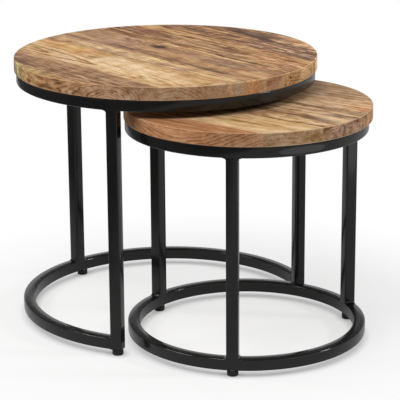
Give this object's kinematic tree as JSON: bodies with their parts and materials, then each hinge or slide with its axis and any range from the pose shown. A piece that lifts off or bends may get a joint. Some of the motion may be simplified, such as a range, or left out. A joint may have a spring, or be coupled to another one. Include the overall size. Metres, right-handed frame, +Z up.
{
  "type": "nesting tables",
  "caption": "Pair of round nesting side tables: solid wood board tops on black square-tube frames; the smaller slides under the larger through its open base ring.",
  "frame": {"origin": "on the floor at the middle of the pair's footprint, with the small table partly pulled out", "axes": "+Z up; +X the way the small table pulls out from under the large one; +Y to the left as seen from behind the large table"},
  "size_m": [0.637, 0.5, 0.443],
  "materials": {
    "mango_light": "clear matt lacquer on pale golden wood with straight and cathedral grain",
    "mango_brown": "clear matt lacquer on mid-brown wood with darker streaks",
    "mango_grey": "clear matt lacquer on grey-brown wood with a dark knot",
    "mango_red": "clear matt lacquer on reddish-brown wood",
    "mango_dark": "clear matt lacquer on dark brown wood",
    "powder_coat": "satin black powder coat with slight orange peel",
    "zinc_steel": "bright zinc plate",
    "black_nylon": "moulded black nylon"
  },
  "bodies": {
    "large_table": {"large_board_1": "mango_brown", "large_board_2": "mango_light", "large_board_3": "mango_grey", "large_board_4": "mango_red", "large_board_5": "mango_dark", "large_top_ring": "powder_coat", "large_base_ring": "powder_coat", "large_leg_left": "powder_coat", "large_leg_back": "powder_coat", "large_leg_right": "powder_coat", "large_tab_front": "powder_coat", "large_tab_left": "powder_coat", "large_tab_right": "powder_coat", "large_screw_front": "zinc_steel", "large_screw_left": "zinc_steel", "large_screw_right": "zinc_steel", "large_plug_left": "black_nylon", "large_plug_right": "black_nylon", "large_insert_back": "zinc_steel"},
    "large_glide_left": {"large_foot_left": "black_nylon", "large_stud_left": "zinc_steel"},
    "large_glide_back": {"large_foot_back": "black_nylon", "large_stud_back": "zinc_steel"},
    "large_glide_right": {"large_foot_right": "black_nylon", "large_stud_right": "zinc_steel"},
    "small_table": {"small_board_1": "mango_red", "small_board_2": "mango_light", "small_board_3": "mango_grey", "small_board_4": "mango_light", "small_board_5": "mango_brown", "small_top_ring": "powder_coat", "small_base_ring": "powder_coat", "small_leg_left": "powder_coat", "small_leg_back": "powder_coat", "small_leg_right": "powder_coat", "small_tab_front": "powder_coat", "small_tab_left": "powder_coat", "small_tab_right": "powder_coat", "small_screw_front": "zinc_steel", "small_screw_left": "zinc_steel", "small_screw_right": "zinc_steel", "small_insert_left": "zinc_steel", "small_insert_back": "zinc_steel", "small_insert_right": "zinc_steel"},
    "small_glide_left": {"small_foot_left": "black_nylon", "small_stud_left": "zinc_steel"},
    "small_glide_back": {"small_foot_back": "black_nylon", "small_stud_back": "zinc_steel"},
    "small_glide_right": {"small_foot_right": "black_nylon", "small_stud_right": "zinc_steel"}
  },
  "joints": [
    {"name": "small_table_slide", "type": "slide", "parent": "large_table", "child": "small_table", "axis": [1, 0, 0], "range_m": [-0.214, 0.27]},
    {"name": "large_glide_left_screw", "type": "slide", "parent": "large_table", "child": "large_glide_left", "axis": [0, 0, -1], "range_m": [0, 0.006]},
    {"name": "large_glide_back_screw", "type": "slide", "parent": "large_table", "child": "large_glide_back", "axis": [0, 0, -1], "range_m": [0, 0.006]},
    {"name": "large_glide_right_screw", "type": "slide", "parent": "large_table", "child": "large_glide_right", "axis": [0, 0, -1], "range_m": [0, 0.006]},
    {"name": "small_glide_left_screw", "type": "slide", "parent": "small_table", "child": "small_glide_left", "axis": [0, 0, -1], "range_m": [0, 0.006]},
    {"name": "small_glide_back_screw", "type": "slide", "parent": "small_table", "child": "small_glide_back", "axis": [0, 0, -1], "range_m": [0, 0.006]},
    {"name": "small_glide_right_screw", "type": "slide", "parent": "small_table", "child": "small_glide_right", "axis": [0, 0, -1], "range_m": [0, 0.006]}
  ]
}
